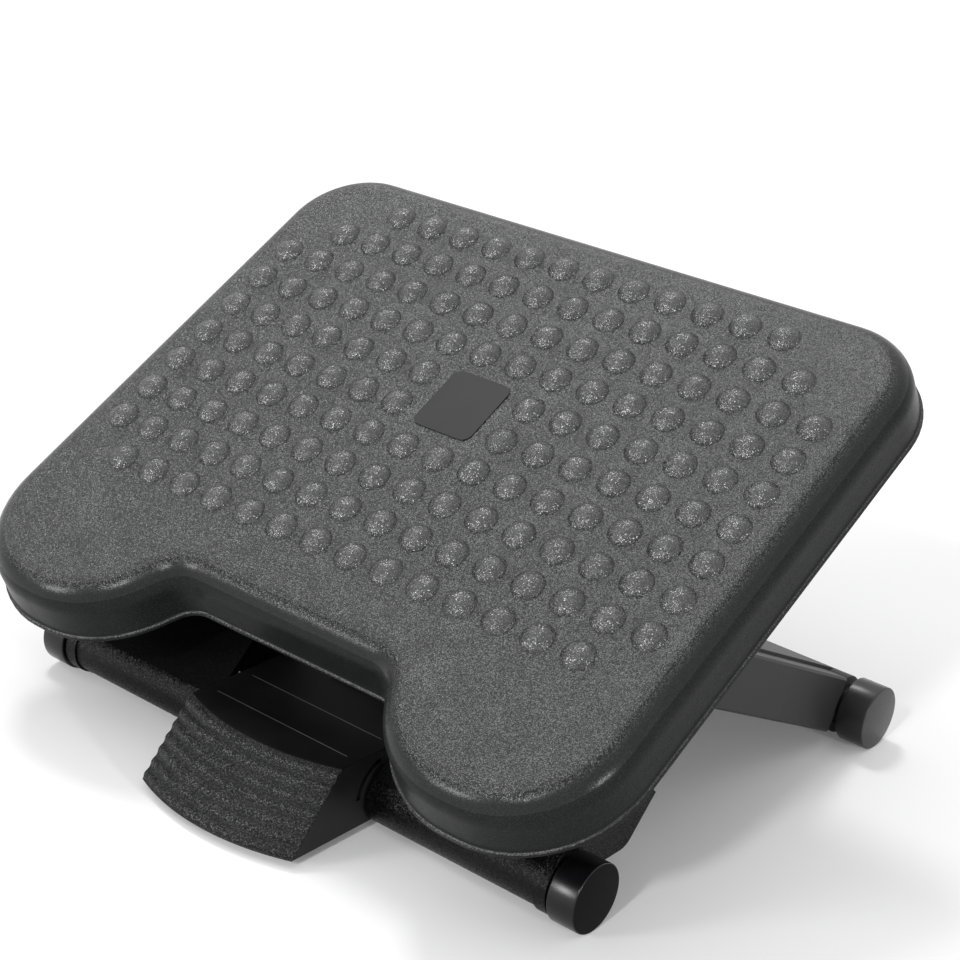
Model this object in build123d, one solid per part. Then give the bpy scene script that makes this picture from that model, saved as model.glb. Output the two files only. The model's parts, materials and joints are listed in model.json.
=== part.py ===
"""Adjustable footrest: a moulded platform with massage bumps on a crossed pair of folding legs.

The front leg turns on the front axle, the rear leg turns on the front leg at the crossing pivots,
and the platform turns on a rod at the front leg's top while the rear leg's top slides in two tracks
under the platform. A foot pedal on the front axle carries a pawl pin for the rear leg's quadrants.

Frame: X across, Y from front to rear, Z up, millimetres and degrees, floor at Z = 0, origin at the
middle of the footprint box. The rest pose is the highest setting.
"""
import os
from math import acos, asin, atan2, cos, degrees, hypot, radians, sin, tan

from build123d import *

# Stance, measured from the front axle
FOOT_SPAN = 288.0
FOOT_RADIUS = 20.0
FOOT_LENGTH = 17.0
FOOT_STANDOFF = 3.5
FOOT_BEVEL = 0.8
FRONT_LEG_ANGLE = 46.5
REAR_LEG_ANGLE = 25.5
FRONT_LEG_LOW = 25.5
PLATFORM_TILT = 30.0
LIP_FORWARD = 63.0
LIP_HEIGHT = 59.0

# Platform shell
PLATFORM_WIDTH = 460.0
PLATFORM_DEPTH = 380.0
SHELL_HEIGHT = 36.5
SHELL_WALL = 3.5
LIP_BEAD = 2.5
LIP_BEAD_HEIGHT = 4.0
EDGE_ROLL = 16.0
CAVITY_BEVEL = 8.0
FRONT_CORNER = 70.0
REAR_CORNER = 54.0
RECESS_DEPTH = 52.0
RECESS_HALF_BACK = 76.0
RECESS_HALF_MOUTH = 109.0
RECESS_CORNER = 19.0
LOBE_CORNER = 77.0
SHELL_RIB_DEPTH = 6.0
SHELL_RIB_WIDTH = 2.5
SHELL_RIB_SPACING = 60.0

# Massage bumps and badge, from the rear edge of the platform
BUMP_PITCH_ACROSS = 26.1
BUMP_PITCH_ALONG = 26.5
BUMP_RADIUS = 10.0
BUMP_HEIGHT = 5.0
BUMP_SIDES = 8
BUMP_REAR_MARGIN = 36.0
BUMPS_PER_ROW = (12, 14, 16, 16, 16, 16, 16, 16, 16, 14)
BADGE_WIDTH = 42.0
BADGE_LENGTH = 46.0
BADGE_CORNER = 6.0
BADGE_THICKNESS = 1.4
BADGE_POCKET = 0.8
BADGE_ROW = 4.5

# Platform hinge and slide
PIVOT_INSET = 12.0
HINGE_ROD_RADIUS = 4.0
HINGE_KNUCKLE_RADIUS = 9.0
BRACKET_THICKNESS = 12.0
BRACKET_BOSS_RADIUS = 10.5
BRACKET_BASE_LENGTH = 46.0
BRACKET_BASE_WIDTH = 34.0
BRACKET_BASE_HEIGHT = 4.0
SLIDE_PIN_RADIUS = 4.0
SLIDE_SHOE_RADIUS = 6.5
SLIDE_CLEARANCE = 1.4
TRACK_WALL = 3.0
TRACK_END_WALL = 6.0
SCREW_RADIUS = 1.8
SCREW_HEAD_RADIUS = 3.8
SCREW_HEAD_HEIGHT = 2.4
SCREW_BITE = 2.4

# Legs
ROLL_RADIUS = 18.5
LEG_INSET = 44.5
AXLE_RADIUS = 6.0
RUNNING_GAP = 0.05
SIDE_GAP = 0.4
FOOT_NECK_RADIUS = 13.0
RAIL_FOOT_THICKNESS = 8.0
RAIL_THICKNESS = 6.0
RAIL_DEPTH = 38.0
RAIL_FOOT_LENGTH = 70.0
RAIL_STEP_LENGTH = 8.0
HEEL_ROUND = 12.0
PANEL_THICKNESS = 5.0
PANEL_NOTCH_LENGTH = 44.0
ARM_THICKNESS = 18.0
ARM_ABOVE = 16.5
ARM_BELOW = 18.5
ARM_TIP_RADIUS = 12.0
ARM_SHOULDER = 14.0
ARM_END_SETBACK = 16.0
TUBE_INSET = 4.0
WEB_THICKNESS = 5.0
WEB_REACH = 138.0
PIVOT_PIN_RADIUS = 5.0
PIVOT_HEAD_RADIUS = 8.0
PIVOT_HEAD_HEIGHT = 2.5
WASHER_RADIUS = 10.0

# Ratchet
QUADRANT_RADIUS = 44.0
QUADRANT_WIDTH = 11.0
QUADRANT_THICKNESS = 8.0
QUADRANT_OFFSET = 30.0
QUADRANT_FOOT = 32.0
HEIGHT_SETTINGS = 6
NOTCH_RADIUS = 2.5
PAWL_RADIUS = 2.3
PAWL_CLEARANCE = 0.4

# Pedal
PEDAL_HALF_WIDTH = 58.0
PEDAL_BOTTOM = 5.0
PEDAL_TOP = 46.5
PEDAL_NOSE = 84.0
PEDAL_BROW = 48.0
PEDAL_REAR = 50.0
PEDAL_WALL = 4.0
PEDAL_PLAN_RADIUS = 145.0
PEDAL_GAP = 2.0
PEDAL_HUB_RADIUS = 12.0
PEDAL_HUB_LENGTH = 12.0
PEDAL_HEEL_RADIUS = 17.0
PEDAL_SLOT_RADIUS = 21.0
PEDAL_SLOT_WIDTH = 4.0
TREAD_RIBS = 7
TREAD_RIB_HEIGHT = 1.2
TREAD_RIB_FOOT = 3.6
TREAD_RIB_CREST = 1.4
PEDAL_ARM_HALF_WIDTH = 18.0
PEDAL_ARM_THICKNESS = 12.0
LABEL_THICKNESS = 1.2
LABEL_POCKET = 0.8
LABEL_MARGIN = 4.0
LABEL_GAP = 0.2
SPRING_HALF_WIDTH = 7.0
SPRING_THICKNESS = 1.0
SPRING_GAP = 0.3
SPRING_PLATE = 24.0
SPRING_REACH = 58.0
SPRING_TIP = 0.6


def toward(angle, length=1.0):
    """A step of a given length at an angle in the (y, z) plane."""
    return Vector(length * cos(radians(angle)), length * sin(radians(angle)))


def meet(start, angle, other, other_angle):
    """The point where two lines in the (y, z) plane cross."""
    along, across = toward(angle), toward(other_angle)
    gap = other - start
    span = (gap.X * across.Y - gap.Y * across.X) / (along.X * across.Y - along.Y * across.X)
    return start + along * span


# Pivots in (y, z), at rest
FRONT_AXLE = Vector(0, FOOT_RADIUS)
REAR_AXLE = Vector(FOOT_SPAN, FOOT_RADIUS)
FRONT_LIP = Vector(-LIP_FORWARD, LIP_HEIGHT)
TRACK_START = FRONT_LIP + toward(PLATFORM_TILT + 90, PIVOT_INSET)
CROSSING = meet(FRONT_AXLE, FRONT_LEG_ANGLE, REAR_AXLE, 180 - REAR_LEG_ANGLE)
TOP_HINGE = meet(FRONT_AXLE, FRONT_LEG_ANGLE, TRACK_START, PLATFORM_TILT)
SLIDE_POINT = meet(REAR_AXLE, 180 - REAR_LEG_ANGLE, TRACK_START, PLATFORM_TILT)
FRONT_LOWER = (CROSSING - FRONT_AXLE).length
FRONT_LENGTH = (TOP_HINGE - FRONT_AXLE).length
REAR_LOWER = (CROSSING - REAR_AXLE).length
REAR_UPPER = (SLIDE_POINT - CROSSING).length
HINGE_ALONG = (TOP_HINGE - TRACK_START).length
SLIDE_ALONG = (SLIDE_POINT - TRACK_START).length

# The lowest pose, with both feet on the floor
REAR_LEG_LOW = degrees(asin(FRONT_LOWER / REAR_LOWER * sin(radians(FRONT_LEG_LOW))))
CROSSING_LOW = FRONT_AXLE + toward(FRONT_LEG_LOW, FRONT_LOWER)
TOP_HINGE_LOW = FRONT_AXLE + toward(FRONT_LEG_LOW, FRONT_LENGTH)
SLIDE_LOW = CROSSING_LOW + toward(180 - REAR_LEG_LOW, REAR_UPPER)
CHORD_LOW = TOP_HINGE_LOW - SLIDE_LOW
TILT_LOW = degrees(atan2(CHORD_LOW.Y, CHORD_LOW.X))
SLIDE_TRAVEL = CHORD_LOW.length - (HINGE_ALONG - SLIDE_ALONG)
LEG_SWING = FRONT_LEG_ANGLE - FRONT_LEG_LOW
SPREAD_SWING = LEG_SWING + REAR_LEG_ANGLE - REAR_LEG_LOW

# The pawl pin moves straight at the crossing, so its pull runs along the pedal
PAWL_REACH = QUADRANT_RADIUS - PAWL_CLEARANCE - PAWL_RADIUS
PAWL_ANGLE = 180 + FRONT_LEG_ANGLE + degrees(acos(PAWL_REACH / FRONT_LOWER))
PAWL_POINT = CROSSING + toward(PAWL_ANGLE, PAWL_REACH)

# Places across X
CEILING = SHELL_HEIGHT - SHELL_WALL
LEG_HALF_WIDTH = PLATFORM_WIDTH / 2 - LEG_INSET
CAP_INNER = LEG_HALF_WIDTH + FOOT_STANDOFF
FOOT_OUTER = CAP_INNER + FOOT_LENGTH
ROLL_END = LEG_HALF_WIDTH - RAIL_FOOT_THICKNESS
ARM_INNER = LEG_HALF_WIDTH - ARM_THICKNESS
RAIL_OUTER = ARM_INNER - 4.0
RAIL_INNER = RAIL_OUTER - RAIL_THICKNESS
ROLL_START = PEDAL_HALF_WIDTH + PEDAL_GAP
TUBE_END = LEG_HALF_WIDTH - TUBE_INSET
KNUCKLE_END = RAIL_INNER - 2.0
HINGE_BRACKET_INNER = RAIL_OUTER + SIDE_GAP
TRACK_INNER = LEG_HALF_WIDTH + 5.0
TRACK_OUTER = TRACK_INNER + BRACKET_THICKNESS

# Where each body's own axes stand
PLATFORM_PLACE = Location((0, FRONT_LIP.X, FRONT_LIP.Y), (PLATFORM_TILT, 0, 0))
FRONT_PLACE = Location((0, FRONT_AXLE.X, FRONT_AXLE.Y), (FRONT_LEG_ANGLE, 0, 0))
REAR_PLACE = Location((0, CROSSING.X, CROSSING.Y), (-REAR_LEG_ANGLE, 0, 0))


def poly(*points):
    """A flat polygon at the points given."""
    return make_face(Polyline(*[tuple(p)[:2] for p in points], close=True))


def disc(radius, centre=(0, 0)):
    """A flat round at a point."""
    spot = tuple(centre)
    return Pos(spot[0], spot[1]) * Circle(radius)


def slab(sketch, x_from, x_to):
    """A plate: a sketch in (y, z) pulled along X between two places."""
    return Pos(x_from, 0, 0) * extrude(Plane.YZ * sketch, amount=x_to - x_from)


def rod(radius, x_from, x_to, centre=(0, 0)):
    """A round bar along X through a point in (y, z)."""
    return slab(disc(radius, centre), x_from, x_to)


def both_sides(name, right):
    """The right-hand piece and its mirror image, as named nodes."""
    return {name + "_right": right, name + "_left": mirror(right, about=Plane.YZ)}


# Platform

def platform_outline(inset):
    """The rounded plan with the recess between two lobes, drawn in by an inset."""
    half, front, rear = PLATFORM_WIDTH / 2 - inset, inset, PLATFORM_DEPTH - inset
    lean = tan(atan2(RECESS_DEPTH, RECESS_HALF_MOUTH - RECESS_HALF_BACK) / 2)
    mouth, back = RECESS_HALF_MOUTH + inset * lean, RECESS_HALF_BACK + inset * lean
    right = [(back, RECESS_DEPTH + inset), (mouth, front), (half, front), (half, rear)]
    left = [(-x, y) for x, y in reversed(right)]
    radii = [RECESS_CORNER + inset, LOBE_CORNER - inset, FRONT_CORNER - inset, REAR_CORNER - inset]
    return make_face(FilletPolyline(*left, *right, radius=[*reversed(radii), *radii], close=True))


def platform_block(inset, bottom, top):
    """The plan pulled up between two heights."""
    return Pos(0, 0, bottom) * extrude(platform_outline(inset), amount=top - bottom)


def top_edges(block):
    """The edges round a block's top face."""
    return block.faces().sort_by(Axis.Z)[-1].edges()


def bump_spots():
    """The bump centres in the platform's plan, leaving out those under the badge."""
    for row, count in enumerate(BUMPS_PER_ROW):
        along = PLATFORM_DEPTH - BUMP_REAR_MARGIN - row * BUMP_PITCH_ALONG
        for column in range(count):
            across = (column - (count - 1) / 2) * BUMP_PITCH_ACROSS
            on_badge = abs(across) < BADGE_WIDTH / 2 and abs(row - BADGE_ROW) < 1
            if not on_badge:
                yield across, along


def bump():
    """One low many-sided dome, its foot sunk a little below the platform's top."""
    sink = 0.5
    rings = ((-sink, 1.0), (0, 1.0), (0.68, 0.68), (1.0, 0.26))
    sections = []
    for level, share in rings:
        height = level if level < 0 else level * BUMP_HEIGHT
        sections.append(Pos(0, 0, height) * RegularPolygon(BUMP_RADIUS * share, BUMP_SIDES))
    return loft(sections, ruled=True)


def shell_ribs(cavity):
    """Shallow stiffening ribs under the platform's top, both ways."""
    depth = SHELL_RIB_DEPTH + 1
    middle = CEILING - SHELL_RIB_DEPTH + depth / 2
    half = RAIL_INNER - 2.0
    rows = int(PLATFORM_DEPTH / SHELL_RIB_SPACING)
    columns = int(half / SHELL_RIB_SPACING)
    bars = []
    for row in range(1, rows):
        along = RECESS_DEPTH + row * (PLATFORM_DEPTH - RECESS_DEPTH) / rows
        bars.append(Pos(0, along, middle) * Box(2 * half, SHELL_RIB_WIDTH, depth))
    for column in range(-columns, columns + 1):
        across = column * SHELL_RIB_SPACING
        bars.append(Pos(across, PLATFORM_DEPTH / 2, middle) * Box(SHELL_RIB_WIDTH, PLATFORM_DEPTH, depth))
    ribs = bars[0].fuse(*bars[1:])
    return ribs & cavity


def badge_plan(grow):
    """The badge's rounded rectangle, on its place in the plan."""
    along = PLATFORM_DEPTH - BUMP_REAR_MARGIN - BADGE_ROW * BUMP_PITCH_ALONG
    plan = RectangleRounded(BADGE_WIDTH + 2 * grow, BADGE_LENGTH + 2 * grow, BADGE_CORNER + grow)
    return Pos(0, along, 0) * plan


def hinge_screw_spots():
    """Screw places on the hinge brackets' bases, in the platform's plan."""
    across = HINGE_BRACKET_INNER + BRACKET_THICKNESS + (BRACKET_BASE_WIDTH - BRACKET_THICKNESS) / 2
    reach = BRACKET_BASE_LENGTH / 2 - 8
    return [(across, HINGE_ALONG - reach), (across, HINGE_ALONG + reach)]


def track_ends():
    """The two ends of the slide track along the platform."""
    margin = SLIDE_SHOE_RADIUS + SLIDE_CLEARANCE + TRACK_END_WALL
    return SLIDE_ALONG - SLIDE_TRAVEL - margin, SLIDE_ALONG + margin


def track_screw_spots():
    """Screw places on the slide tracks' bases, in the platform's plan."""
    start, end = track_ends()
    across = TRACK_INNER - (BRACKET_BASE_WIDTH - BRACKET_THICKNESS) / 2
    return [(across, start + 10), (across, end - 10)]


def with_mirror(spots):
    """Places on the right-hand side and their mirror images."""
    return spots + [(-x, y) for x, y in spots]


def platform_shell():
    """The moulded platform: hollow below, bumps on top, ribs, badge pocket and screw holes."""
    body = platform_block(LIP_BEAD, 0, SHELL_HEIGHT)
    body = fillet(top_edges(body), radius=EDGE_ROLL)
    bead = extrude(platform_outline(0), amount=LIP_BEAD_HEIGHT)
    cavity = platform_block(LIP_BEAD + SHELL_WALL, -1, CEILING)
    cavity = chamfer(top_edges(cavity), length=CAVITY_BEVEL)
    shell = (body + bead) - cavity
    shell += shell_ribs(cavity)
    shell -= extrude(Pos(0, 0, SHELL_HEIGHT - BADGE_POCKET) * badge_plan(LABEL_GAP), amount=BADGE_POCKET + 1)
    for across, along in with_mirror(hinge_screw_spots() + track_screw_spots()):
        shell -= Pos(across, along, CEILING) * Cylinder(SCREW_RADIUS, 2 * SCREW_BITE)
    dome = bump()
    domes = [Pos(across, along, SHELL_HEIGHT) * dome for across, along in bump_spots()]
    return shell.fuse(*domes)


def hinge_bracket():
    """The right-hand ear that holds the hinge rod under the platform."""
    half = BRACKET_BASE_LENGTH / 2
    at_hinge = (HINGE_ALONG, PIVOT_INSET)
    ear = poly((HINGE_ALONG - half, CEILING), (HINGE_ALONG + half, CEILING),
               (HINGE_ALONG + BRACKET_BOSS_RADIUS, PIVOT_INSET), (HINGE_ALONG - BRACKET_BOSS_RADIUS, PIVOT_INSET))
    ear = ear + disc(BRACKET_BOSS_RADIUS, at_hinge) - disc(HINGE_ROD_RADIUS, at_hinge)
    inner, outer = HINGE_BRACKET_INNER, HINGE_BRACKET_INNER + BRACKET_BASE_WIDTH
    base = poly((HINGE_ALONG - half, CEILING - BRACKET_BASE_HEIGHT), (HINGE_ALONG + half, CEILING - BRACKET_BASE_HEIGHT),
                (HINGE_ALONG + half, CEILING), (HINGE_ALONG - half, CEILING))
    bracket = slab(ear, inner, inner + BRACKET_THICKNESS) + slab(base, inner, outer)
    return drilled(bracket, hinge_screw_spots())


def slide_track():
    """The right-hand track with the slot for the rear leg's slide shoe."""
    start, end = track_ends()
    reach = SLIDE_SHOE_RADIUS + SLIDE_CLEARANCE
    plate = poly((start, PIVOT_INSET - reach - TRACK_WALL), (end, PIVOT_INSET - reach - TRACK_WALL),
                 (end, CEILING), (start, CEILING))
    near, far = (SLIDE_ALONG - SLIDE_TRAVEL, PIVOT_INSET), (SLIDE_ALONG, PIVOT_INSET)
    slot = poly((near[0], PIVOT_INSET - reach), (far[0], PIVOT_INSET - reach),
                (far[0], PIVOT_INSET + reach), (near[0], PIVOT_INSET + reach))
    slot = slot + disc(reach, near) + disc(reach, far)
    base = poly((start, CEILING - BRACKET_BASE_HEIGHT), (end, CEILING - BRACKET_BASE_HEIGHT),
                (end, CEILING), (start, CEILING))
    track = slab(plate - slot, TRACK_INNER, TRACK_OUTER) + slab(base, TRACK_OUTER - BRACKET_BASE_WIDTH, TRACK_OUTER)
    return drilled(track, track_screw_spots())


def drilled(bracket, spots):
    """A bracket with its screw holes."""
    for across, along in spots:
        bracket -= Pos(across, along, CEILING) * Cylinder(SCREW_RADIUS, 4 * BRACKET_BASE_HEIGHT)
    return bracket


def bracket_screws(spots):
    """The hexagon-headed screws that hold one pair of brackets to the platform."""
    underside = CEILING - BRACKET_BASE_HEIGHT
    low = (Align.CENTER, Align.CENTER, Align.MIN)
    shank = Cylinder(SCREW_RADIUS, BRACKET_BASE_HEIGHT + SCREW_BITE, align=low)
    head = Pos(0, 0, -SCREW_HEAD_HEIGHT) * extrude(RegularPolygon(SCREW_HEAD_RADIUS, 6), amount=SCREW_HEAD_HEIGHT)
    screw = head + shank
    return Part() + [Pos(across, along, underside) * screw for across, along in with_mirror(spots)]


def platform_nodes():
    """The pieces that tilt with the platform, in the platform's own axes."""
    badge = extrude(Pos(0, 0, SHELL_HEIGHT - BADGE_POCKET) * badge_plan(0), amount=BADGE_THICKNESS)
    rod_end = HINGE_BRACKET_INNER + BRACKET_THICKNESS + 1.5
    nodes = {
        "platform_shell": platform_shell(),
        "badge_plate": badge,
        "hinge_screws": bracket_screws(hinge_screw_spots()),
        "track_screws": bracket_screws(track_screw_spots()),
        "platform_hinge_rod": rod(HINGE_ROD_RADIUS, -rod_end, rod_end, (HINGE_ALONG, PIVOT_INSET)),
        **both_sides("hinge_bracket", hinge_bracket()),
        **both_sides("slide_track", slide_track()),
    }
    return {name: PLATFORM_PLACE * shape for name, shape in nodes.items()}


# Front feet, which stay on the floor

def front_feet_nodes():
    """The front axle and its two end feet."""
    axle_end = FOOT_OUTER - FOOT_LENGTH / 3
    foot = rod(FOOT_RADIUS, CAP_INNER, FOOT_OUTER, FRONT_AXLE)
    foot = chamfer(foot.faces().sort_by(Axis.X)[-1].edges(), length=FOOT_BEVEL)
    foot += rod(FOOT_NECK_RADIUS, LEG_HALF_WIDTH + SIDE_GAP, CAP_INNER, FRONT_AXLE)
    foot -= rod(AXLE_RADIUS, 0, axle_end, FRONT_AXLE)
    return {"front_axle": rod(AXLE_RADIUS, -axle_end, axle_end, FRONT_AXLE), **both_sides("front_foot", foot)}


# Front leg, drawn along its own length from the front axle

def panel_line(along, below=0.0):
    """A point on the panel's top face, or below it, at a distance along the front leg."""
    slope = (ROLL_RADIUS - HINGE_KNUCKLE_RADIUS) / FRONT_LENGTH
    return along, ROLL_RADIUS - along * slope - below


def front_leg_panel():
    """The leg's cover panel with the pedal notch, the knuckle for the hinge rod at its top."""
    side = poly(panel_line(0), panel_line(FRONT_LENGTH), panel_line(FRONT_LENGTH, PANEL_THICKNESS),
                panel_line(0, PANEL_THICKNESS))
    wide_side = poly(panel_line(0), panel_line(RAIL_FOOT_LENGTH), panel_line(RAIL_FOOT_LENGTH, PANEL_THICKNESS),
                     panel_line(0, PANEL_THICKNESS))
    panel = slab(side, -RAIL_INNER, RAIL_INNER) + slab(wide_side, -ROLL_END, ROLL_END)
    panel -= rod(HINGE_KNUCKLE_RADIUS, -RAIL_INNER, RAIL_INNER, (FRONT_LENGTH, 0))
    panel += rod(HINGE_KNUCKLE_RADIUS, -KNUCKLE_END, KNUCKLE_END, (FRONT_LENGTH, 0))
    panel -= rod(HINGE_ROD_RADIUS + RUNNING_GAP, -RAIL_INNER, RAIL_INNER, (FRONT_LENGTH, 0))
    panel -= rod(ROLL_RADIUS, -LEG_HALF_WIDTH, LEG_HALF_WIDTH)
    notch = Box(2 * ROLL_START + 4, 2 * PANEL_NOTCH_LENGTH, 4 * ROLL_RADIUS)
    return panel - notch


def front_roll():
    """The right-hand round foot of the front leg, turning on the front axle."""
    return rod(ROLL_RADIUS, ROLL_START, ROLL_END) - rod(AXLE_RADIUS + RUNNING_GAP, 0, LEG_HALF_WIDTH)


def front_rail():
    """The right-hand side rail: a deep heel plate at the foot, stepped in above it to pass the rear leg."""
    heel_back = RAIL_DEPTH / tan(radians(FRONT_LEG_ANGLE))
    heel = poly((0, 0), (heel_back, -RAIL_DEPTH), (RAIL_FOOT_LENGTH, -RAIL_DEPTH), panel_line(RAIL_FOOT_LENGTH),
                panel_line(0))
    heel = fillet(heel.vertices().sort_by_distance(Vector(heel_back, -RAIL_DEPTH))[0], radius=HEEL_ROUND)
    foot = slab(heel + disc(ROLL_RADIUS), ROLL_END, LEG_HALF_WIDTH)
    step_start = RAIL_FOOT_LENGTH - RAIL_STEP_LENGTH
    step_side = poly(panel_line(step_start, PANEL_THICKNESS), panel_line(RAIL_FOOT_LENGTH, PANEL_THICKNESS),
                     (RAIL_FOOT_LENGTH, -RAIL_DEPTH), (step_start, -RAIL_DEPTH))
    step = slab(step_side, RAIL_INNER, ROLL_END)
    tip = HINGE_KNUCKLE_RADIUS
    flange = poly(panel_line(step_start, PANEL_THICKNESS), panel_line(RAIL_FOOT_LENGTH, PANEL_THICKNESS),
                  panel_line(RAIL_FOOT_LENGTH), panel_line(FRONT_LENGTH), (FRONT_LENGTH, -tip),
                  (FRONT_LOWER, -2 * PIVOT_HEAD_RADIUS), (step_start, -RAIL_DEPTH))
    flange = flange + disc(tip, (FRONT_LENGTH, 0)) - disc(HINGE_ROD_RADIUS + RUNNING_GAP, (FRONT_LENGTH, 0))
    rail = foot + step + slab(flange, RAIL_INNER, RAIL_OUTER)
    rail -= rod(AXLE_RADIUS + RUNNING_GAP, 0, 2 * LEG_HALF_WIDTH)
    return rail - rod(PIVOT_PIN_RADIUS, 0, LEG_HALF_WIDTH, (FRONT_LOWER, 0))


def pivot_pin():
    """The right-hand crossing pin, fixed in the front rail, with a head at each end."""
    spot = (FRONT_LOWER, 0)
    inner = RAIL_INNER - PIVOT_HEAD_HEIGHT
    outer = LEG_HALF_WIDTH + SIDE_GAP
    pin = rod(PIVOT_PIN_RADIUS, inner, outer + PIVOT_HEAD_HEIGHT, spot)
    return pin + rod(PIVOT_HEAD_RADIUS, inner, RAIL_INNER, spot) + rod(PIVOT_HEAD_RADIUS, outer, outer + PIVOT_HEAD_HEIGHT, spot)


def pivot_washer():
    """The right-hand washer between the front rail and the rear arm."""
    spot = (FRONT_LOWER, 0)
    return rod(WASHER_RADIUS, RAIL_OUTER, ARM_INNER - SIDE_GAP, spot) - rod(PIVOT_PIN_RADIUS, RAIL_OUTER, ARM_INNER, spot)


def pedal_spring():
    """The leaf spring under the panel that presses the pedal's arm down."""
    plate_end = PANEL_NOTCH_LENGTH + SPRING_REACH
    bend = Vector(*panel_line(plate_end, PANEL_THICKNESS))
    fixed = Vector(*panel_line(plate_end + SPRING_PLATE, PANEL_THICKNESS))
    root, pawl = to_front_leg(pedal_arm_root()), to_front_leg(PAWL_POINT)
    arm = (pawl - root).normalized()
    tip = root + (pawl - root) * SPRING_TIP + Vector(-arm.Y, arm.X) * (PEDAL_ARM_THICKNESS / 2 + SPRING_GAP)
    plate = (bend - fixed).normalized()
    strip = (tip - bend).normalized()
    under = Vector(-plate.Y, plate.X) * SPRING_THICKNESS
    inside = under - plate * (SPRING_THICKNESS * tan(radians(plate.get_angle(strip)) / 2))
    outside = Vector(strip.Y, -strip.X) * SPRING_THICKNESS
    side = poly(fixed, bend, tip + outside, tip, bend + inside, fixed + under)
    return slab(side, -SPRING_HALF_WIDTH, SPRING_HALF_WIDTH)


def to_front_leg(point):
    """A point in (y, z) at rest, as distances along and above the front leg."""
    gap = point - FRONT_AXLE
    turn = radians(FRONT_LEG_ANGLE)
    return Vector(gap.X * cos(turn) + gap.Y * sin(turn), gap.Y * cos(turn) - gap.X * sin(turn))


def front_leg_nodes():
    """The pieces of the front leg, in the leg's own axes."""
    nodes = {
        "front_leg_panel": front_leg_panel(),
        "pedal_spring": pedal_spring(),
        **both_sides("front_roll", front_roll()),
        **both_sides("front_rail", front_rail()),
        **both_sides("pivot_pin", pivot_pin()),
        **both_sides("pivot_washer", pivot_washer()),
    }
    return {name: FRONT_PLACE * shape for name, shape in nodes.items()}


# Rear leg, drawn along its own length from the crossing, towards the rear foot

def rear_arm():
    """The right-hand side arm, from the slide pin past the crossing to the rear tube."""
    end = REAR_LOWER - ARM_END_SETBACK
    bar = poly((-REAR_UPPER, ARM_TIP_RADIUS), (-ARM_SHOULDER, ARM_ABOVE), (end, ARM_ABOVE), (end, -ARM_BELOW),
               (ARM_SHOULDER, -ARM_BELOW), (-REAR_UPPER, -ARM_TIP_RADIUS))
    bar = bar + disc(ARM_TIP_RADIUS, (-REAR_UPPER, 0))
    bar = bar - disc(SLIDE_PIN_RADIUS, (-REAR_UPPER, 0)) - disc(PIVOT_PIN_RADIUS + RUNNING_GAP)
    arm = slab(bar, ARM_INNER, LEG_HALF_WIDTH)
    outer_edges = arm.faces().sort_by(Axis.X)[-1].outer_wire().edges()
    arm = chamfer(outer_edges, length=1.5)
    return arm - rod(ROLL_RADIUS, 0, LEG_HALF_WIDTH, (REAR_LOWER, 0))


def rear_tube():
    """The rear tube, open at its ends for the feet."""
    at = (REAR_LOWER, 0)
    return rod(ROLL_RADIUS, -TUBE_END, TUBE_END, at) - rod(FOOT_NECK_RADIUS, -TUBE_END, TUBE_END, at)


def rear_foot():
    """The right-hand rear foot, plugged into the tube."""
    at = (REAR_LOWER, 0)
    foot = rod(FOOT_RADIUS, CAP_INNER, FOOT_OUTER, at)
    foot = chamfer(foot.faces().sort_by(Axis.X)[-1].edges(), length=FOOT_BEVEL)
    return foot + rod(FOOT_NECK_RADIUS, TUBE_END - FOOT_LENGTH, CAP_INNER, at)


def rear_web():
    """The panel that joins the two arms above the rear tube."""
    side = poly((REAR_LOWER - WEB_REACH, ROLL_RADIUS), (REAR_LOWER, ROLL_RADIUS), (REAR_LOWER, ROLL_RADIUS - WEB_THICKNESS),
                (REAR_LOWER - WEB_REACH, ROLL_RADIUS - WEB_THICKNESS))
    return slab(side, -ARM_INNER, ARM_INNER) - rod(ROLL_RADIUS, -ARM_INNER, ARM_INNER, (REAR_LOWER, 0))


def quadrant():
    """The right-hand notched quadrant round the crossing, its foot under the web."""
    first = PAWL_ANGLE + REAR_LEG_ANGLE
    step = SPREAD_SWING / (HEIGHT_SETTINGS - 1)
    outer = QUADRANT_RADIUS + QUADRANT_WIDTH
    wedge = poly((0, 0), toward(first + step, 2 * outer), toward(first - SPREAD_SWING / 2, 2 * outer),
                 toward(first - SPREAD_SWING - step, 2 * outer))
    ring = (disc(outer) - disc(QUADRANT_RADIUS)) & wedge
    seat = ROLL_RADIUS - WEB_THICKNESS
    start = REAR_LOWER - WEB_REACH
    foot = poly(toward(first + step / 2, QUADRANT_RADIUS + 1), toward(first + step / 2, outer),
                (start + QUADRANT_FOOT, seat - QUADRANT_WIDTH / 2), (start + QUADRANT_FOOT, seat), (start, seat))
    plan = ring + foot
    for notch in range(HEIGHT_SETTINGS):
        plan -= disc(NOTCH_RADIUS, toward(first - notch * step, QUADRANT_RADIUS))
    half = QUADRANT_THICKNESS / 2
    return slab(plan, QUADRANT_OFFSET - half, QUADRANT_OFFSET + half)


def slide_pin():
    """The right-hand slide pin, fixed in the arm's tip, its inner head against the arm."""
    at = (-REAR_UPPER, 0)
    head = rod(SLIDE_SHOE_RADIUS, ARM_INNER - PIVOT_HEAD_HEIGHT, ARM_INNER, at)
    return head + rod(SLIDE_PIN_RADIUS, ARM_INNER - PIVOT_HEAD_HEIGHT, TRACK_OUTER + 1, at)


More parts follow.
